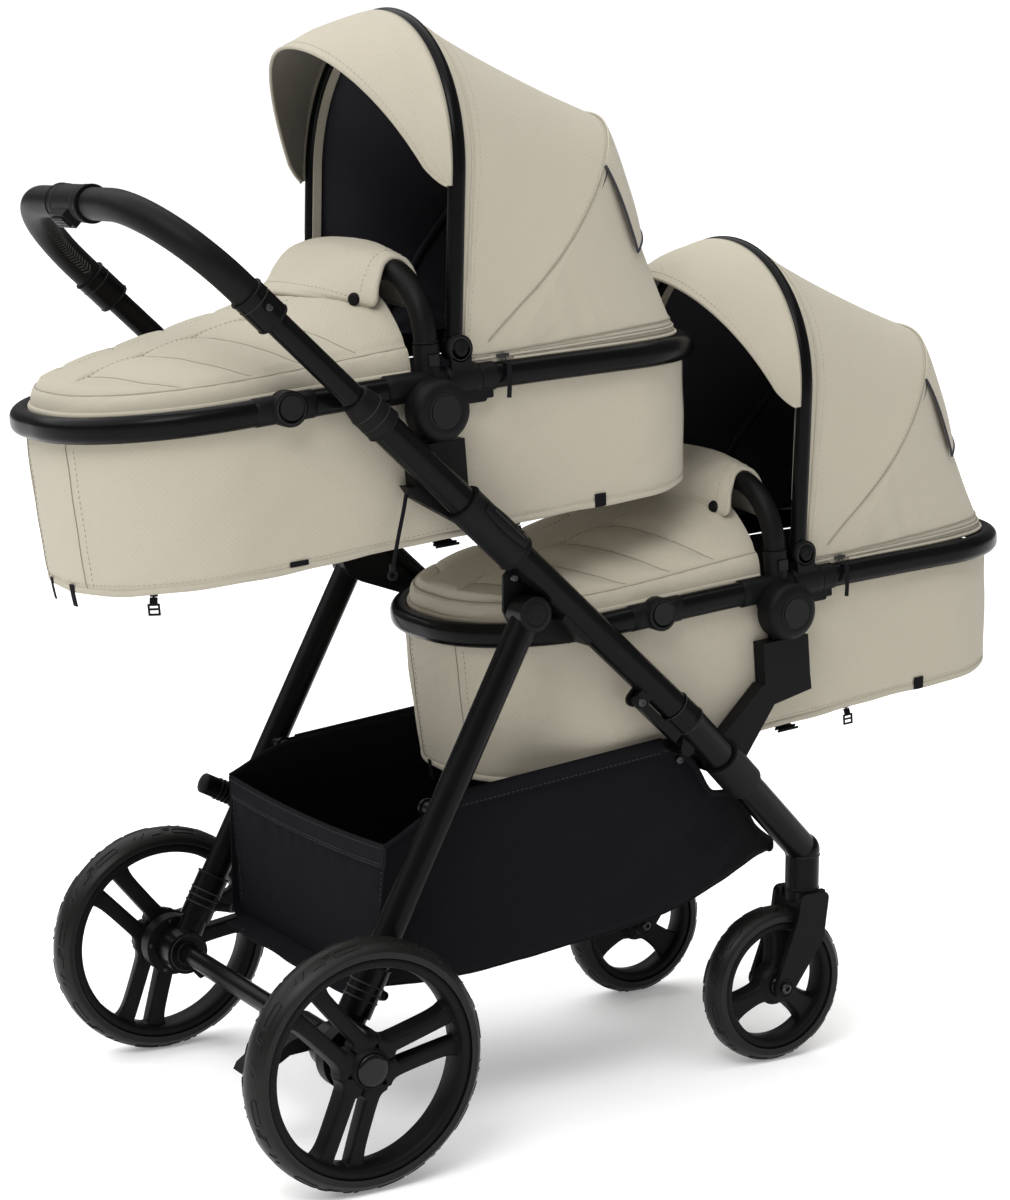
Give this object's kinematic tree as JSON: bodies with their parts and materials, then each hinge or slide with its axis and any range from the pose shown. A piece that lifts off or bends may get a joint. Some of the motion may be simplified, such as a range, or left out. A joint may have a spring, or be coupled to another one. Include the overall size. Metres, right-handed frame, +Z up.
{
  "type": "twin pram",
  "caption": "Tandem twin pram: folding black tube frame with a sliding handle, spoked wheels, front casters, basket, and stacked stone fabric carrycots with folding canopies.",
  "frame": {"origin": "on the floor, under the middle of the pram's box", "axes": "+X the way the pram rolls forward, +Y its left side, +Z up"},
  "size_m": [1.3134, 0.61, 1.3012],
  "materials": {
    "frame_tube": "satin powder coat",
    "black_plastic": "fine moulded grain",
    "grip_leather": "grained, stitched",
    "button_plastic": "smooth satin",
    "tyre_rubber": "matt, raised tread marks",
    "stone_fabric": "fine diagonal weave",
    "mattress_fabric": "soft knit",
    "basket_fabric": "coated plain weave"
  },
  "bodies": {
    "chassis": {"rail_left": "frame_tube", "rail_right": "frame_tube", "rail_fittings": "black_plastic", "upper_adapters": "black_plastic"},
    "handle": {"handle_tubes": "frame_tube", "handle_grip": "grip_leather", "handle_collar": "black_plastic"},
    "handle_trigger": {"handle_trigger": "button_plastic"},
    "lower_frame": {"lower_rail_left": "frame_tube", "lower_rail_right": "frame_tube", "front_crossbar": "frame_tube", "lower_adapters": "black_plastic"},
    "rear_legs": {"rear_leg_left": "frame_tube", "rear_leg_right": "frame_tube", "rear_axle": "frame_tube", "brake_drums": "black_plastic"},
    "links": {"fold_links": "frame_tube", "basket": "basket_fabric"},
    "brake_pedal": {"brake_pedal": "black_plastic"},
    "rear_wheel_left": {"rear_rim_left": "black_plastic", "rear_tyre_left": "tyre_rubber"},
    "rear_wheel_right": {"rear_rim_right": "black_plastic", "rear_tyre_right": "tyre_rubber"},
    "caster_left": {"caster_fork_left": "black_plastic"},
    "caster_right": {"caster_fork_right": "black_plastic"},
    "front_wheel_left": {"front_rim_left": "black_plastic", "front_tyre_left": "tyre_rubber"},
    "front_wheel_right": {"front_rim_right": "black_plastic", "front_tyre_right": "tyre_rubber"},
    "upper_cot": {"upper_rim": "frame_tube", "upper_hubs": "black_plastic", "upper_tub": "stone_fabric", "upper_mattress": "mattress_fabric", "upper_apron": "stone_fabric", "upper_bumper": "grip_leather", "upper_canopy": "stone_fabric"},
    "upper_arch": {"upper_canopy_arch": "frame_tube", "upper_visor": "stone_fabric"},
    "upper_hub_button_left": {"upper_hub_button_left": "button_plastic"},
    "upper_hub_button_right": {"upper_hub_button_right": "button_plastic"},
    "upper_knuckle_button_left": {"upper_knuckle_button_left": "button_plastic"},
    "upper_knuckle_button_right": {"upper_knuckle_button_right": "button_plastic"},
    "upper_bumper_button_left": {"upper_bumper_button_left": "button_plastic"},
    "upper_bumper_button_right": {"upper_bumper_button_right": "button_plastic"},
    "lower_cot": {"lower_rim": "frame_tube", "lower_hubs": "black_plastic", "lower_tub": "stone_fabric", "lower_mattress": "mattress_fabric", "lower_apron": "stone_fabric", "lower_bumper": "grip_leather", "lower_canopy": "stone_fabric"},
    "lower_arch": {"lower_canopy_arch": "frame_tube", "lower_visor": "stone_fabric"},
    "lower_hub_button_left": {"lower_hub_button_left": "button_plastic"},
    "lower_hub_button_right": {"lower_hub_button_right": "button_plastic"},
    "lower_knuckle_button_left": {"lower_knuckle_button_left": "button_plastic"},
    "lower_knuckle_button_right": {"lower_knuckle_button_right": "button_plastic"},
    "lower_bumper_button_left": {"lower_bumper_button_left": "button_plastic"},
    "lower_bumper_button_right": {"lower_bumper_button_right": "button_plastic"}
  },
  "joints": [
    {"name": "handle_slide", "type": "slide", "parent": "chassis", "child": "handle", "axis": [0.7373, 0, -0.6756], "range_m": [0, 0.12]},
    {"name": "handle_trigger_press", "type": "slide", "parent": "handle", "child": "handle_trigger", "axis": [0.6756, 0, 0.7373], "range_m": [0, 0.003], "stiffness_N_per_m": 300},
    {"name": "frame_fold", "type": "hinge", "parent": "chassis", "child": "lower_frame", "pos_m": [0.00749, 0, 0.50254], "axis": [0, 1, 0], "range_deg": [0, 12]},
    {"name": "leg_fold", "type": "hinge", "parent": "chassis", "child": "rear_legs", "pos_m": [-0.14174, 0, 0.62165], "axis": [0, 1, 0], "range_deg": [0, 4.48]},
    {"name": "link_fold", "type": "hinge", "parent": "lower_frame", "child": "links", "pos_m": [0.08231, 0, 0.436], "axis": [0, 1, 0], "range_deg": [-7.96, 0]},
    {"name": "brake_press", "type": "hinge", "parent": "rear_legs", "child": "brake_pedal", "pos_m": [-0.39069, -0.151, 0.145], "axis": [0, -1, 0], "range_deg": [0, 18]},
    {"name": "rear_wheel_spin_left", "type": "hinge", "parent": "rear_legs", "child": "rear_wheel_left", "pos_m": [-0.39069, 0.28, 0.145], "axis": [0, 1, 0], "continuous": true},
    {"name": "caster_swivel_left", "type": "hinge", "parent": "lower_frame", "child": "caster_left", "pos_m": [0.30031, 0.159, 0.218], "axis": [0, 0, 1], "continuous": true},
    {"name": "front_wheel_spin_left", "type": "hinge", "parent": "caster_left", "child": "front_wheel_left", "pos_m": [0.25531, 0.159, 0.1], "axis": [0, 1, 0], "continuous": true},
    {"name": "rear_wheel_spin_right", "type": "hinge", "parent": "rear_legs", "child": "rear_wheel_right", "pos_m": [-0.39069, -0.28, 0.145], "axis": [0, 1, 0], "continuous": true},
    {"name": "caster_swivel_right", "type": "hinge", "parent": "lower_frame", "child": "caster_right", "pos_m": [0.30031, -0.159, 0.218], "axis": [0, 0, 1], "continuous": true},
    {"name": "front_wheel_spin_right", "type": "hinge", "parent": "caster_right", "child": "front_wheel_right", "pos_m": [0.25531, -0.159, 0.1], "axis": [0, 1, 0], "continuous": true},
    {"name": "upper_cot_lift", "type": "slide", "parent": "chassis", "child": "upper_cot", "axis": [-0.0872, 0, 0.9962], "range_m": [0, 0.025]},
    {"name": "upper_canopy_fold", "type": "hinge", "parent": "upper_cot", "child": "upper_arch", "pos_m": [-0.21525, 0, 0.92242], "axis": [0, 1, 0], "range_deg": [0, 60], "deforming": ["upper_canopy"]},
    {"name": "upper_hub_button_press_left", "type": "slide", "parent": "upper_cot", "child": "upper_hub_button_left", "axis": [0, -1, 0], "range_m": [0, 0.003], "stiffness_N_per_m": 150},
    {"name": "upper_hub_button_press_right", "type": "slide", "parent": "upper_cot", "child": "upper_hub_button_right", "axis": [0, 1, 0], "range_m": [0, 0.003], "stiffness_N_per_m": 150},
    {"name": "upper_knuckle_button_press_left", "type": "slide", "parent": "upper_cot", "child": "upper_knuckle_button_left", "axis": [0, -1, 0], "range_m": [0, 0.003], "stiffness_N_per_m": 150},
    {"name": "upper_knuckle_button_press_right", "type": "slide", "parent": "upper_cot", "child": "upper_knuckle_button_right", "axis": [0, 1, 0], "range_m": [0, 0.003], "stiffness_N_per_m": 150},
    {"name": "upper_bumper_button_press_left", "type": "slide", "parent": "upper_cot", "child": "upper_bumper_button_left", "axis": [0, -1, 0], "range_m": [0, 0.003], "stiffness_N_per_m": 150},
    {"name": "upper_bumper_button_press_right", "type": "slide", "parent": "upper_cot", "child": "upper_bumper_button_right", "axis": [0, 1, 0], "range_m": [0, 0.003], "stiffness_N_per_m": 150},
    {"name": "lower_cot_lift", "type": "slide", "parent": "lower_frame", "child": "lower_cot", "axis": [-0.0872, 0, 0.9962], "range_m": [0, 0.025]},
    {"name": "lower_canopy_fold", "type": "hinge", "parent": "lower_cot", "child": "lower_arch", "pos_m": [0.26975, 0, 0.65342], "axis": [0, 1, 0], "range_deg": [0, 60], "deforming": ["lower_canopy"]},
    {"name": "lower_hub_button_press_left", "type": "slide", "parent": "lower_cot", "child": "lower_hub_button_left", "axis": [0, -1, 0], "range_m": [0, 0.003], "stiffness_N_per_m": 150},
    {"name": "lower_hub_button_press_right", "type": "slide", "parent": "lower_cot", "child": "lower_hub_button_right", "axis": [0, 1, 0], "range_m": [0, 0.003], "stiffness_N_per_m": 150},
    {"name": "lower_knuckle_button_press_left", "type": "slide", "parent": "lower_cot", "child": "lower_knuckle_button_left", "axis": [0, -1, 0], "range_m": [0, 0.003], "stiffness_N_per_m": 150},
    {"name": "lower_knuckle_button_press_right", "type": "slide", "parent": "lower_cot", "child": "lower_knuckle_button_right", "axis": [0, 1, 0], "range_m": [0, 0.003], "stiffness_N_per_m": 150},
    {"name": "lower_bumper_button_press_left", "type": "slide", "parent": "lower_cot", "child": "lower_bumper_button_left", "axis": [0, -1, 0], "range_m": [0, 0.003], "stiffness_N_per_m": 150},
    {"name": "lower_bumper_button_press_right", "type": "slide", "parent": "lower_cot", "child": "lower_bumper_button_right", "axis": [0, 1, 0], "range_m": [0, 0.003], "stiffness_N_per_m": 150}
  ],
  "couplings": [
    {"joint": "leg_fold", "follows": "frame_fold", "ratio": 0.373},
    {"joint": "link_fold", "follows": "frame_fold", "ratio": -0.6632}
  ]
}
